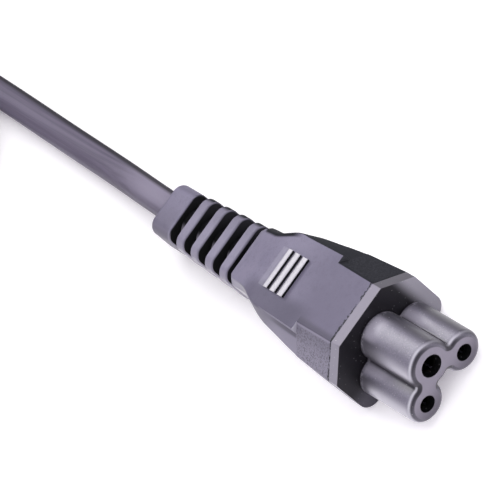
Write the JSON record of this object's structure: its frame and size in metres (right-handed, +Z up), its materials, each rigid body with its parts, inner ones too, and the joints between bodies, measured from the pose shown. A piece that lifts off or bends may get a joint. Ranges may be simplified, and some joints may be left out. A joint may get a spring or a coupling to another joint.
{
  "type": "cloverleaf power connector",
  "caption": "Three-pole cloverleaf mains connector for a notebook adapter, with a moulded grip body, a slotted strain relief and a put-away cord ending in a plain mains plug.",
  "frame": {"origin": "on the table, under the middle of the connector between the tip of its nose and the end of its strain relief", "axes": "+Z up out of the grip side, -Y out of the nose in the direction of mating, +Y along the cord, +X towards the line pole"},
  "size_m": [0.0528, 0.2631, 0.024],
  "materials": {
    "insert_plastic": "hard black moulding, satin",
    "body_plastic": "soft black moulding, fine eroded texture in front, smoother panel",
    "contact_brass": "bright turned brass",
    "copper": "bare stranded copper",
    "earth_insulation": "green and yellow core insulation",
    "line_insulation": "brown core insulation",
    "neutral_insulation": "blue core insulation",
    "cord_jacket": "extruded black jacket, satin",
    "tie_plastic": "plain black band",
    "plug_plastic": "soft black moulding",
    "carrier_plastic": "hard black moulding, satin",
    "pin_brass": "plated brass"
  },
  "bodies": {
    "root": {"contact_insert": "insert_plastic", "overmould": "body_plastic", "earth_contact": "contact_brass", "line_contact": "contact_brass", "neutral_contact": "contact_brass", "earth_conductor": "copper", "line_conductor": "copper", "neutral_conductor": "copper", "earth_core": "earth_insulation", "line_core": "line_insulation", "neutral_core": "neutral_insulation", "cord": "cord_jacket", "cord_hank": "cord_jacket", "cord_tail": "cord_jacket", "cord_ties": "tie_plastic", "plug_body": "plug_plastic", "plug_carrier": "carrier_plastic", "plug_line_blade": "pin_brass", "plug_neutral_blade": "pin_brass", "plug_earth_pin": "pin_brass"}
  },
  "joints": []
}
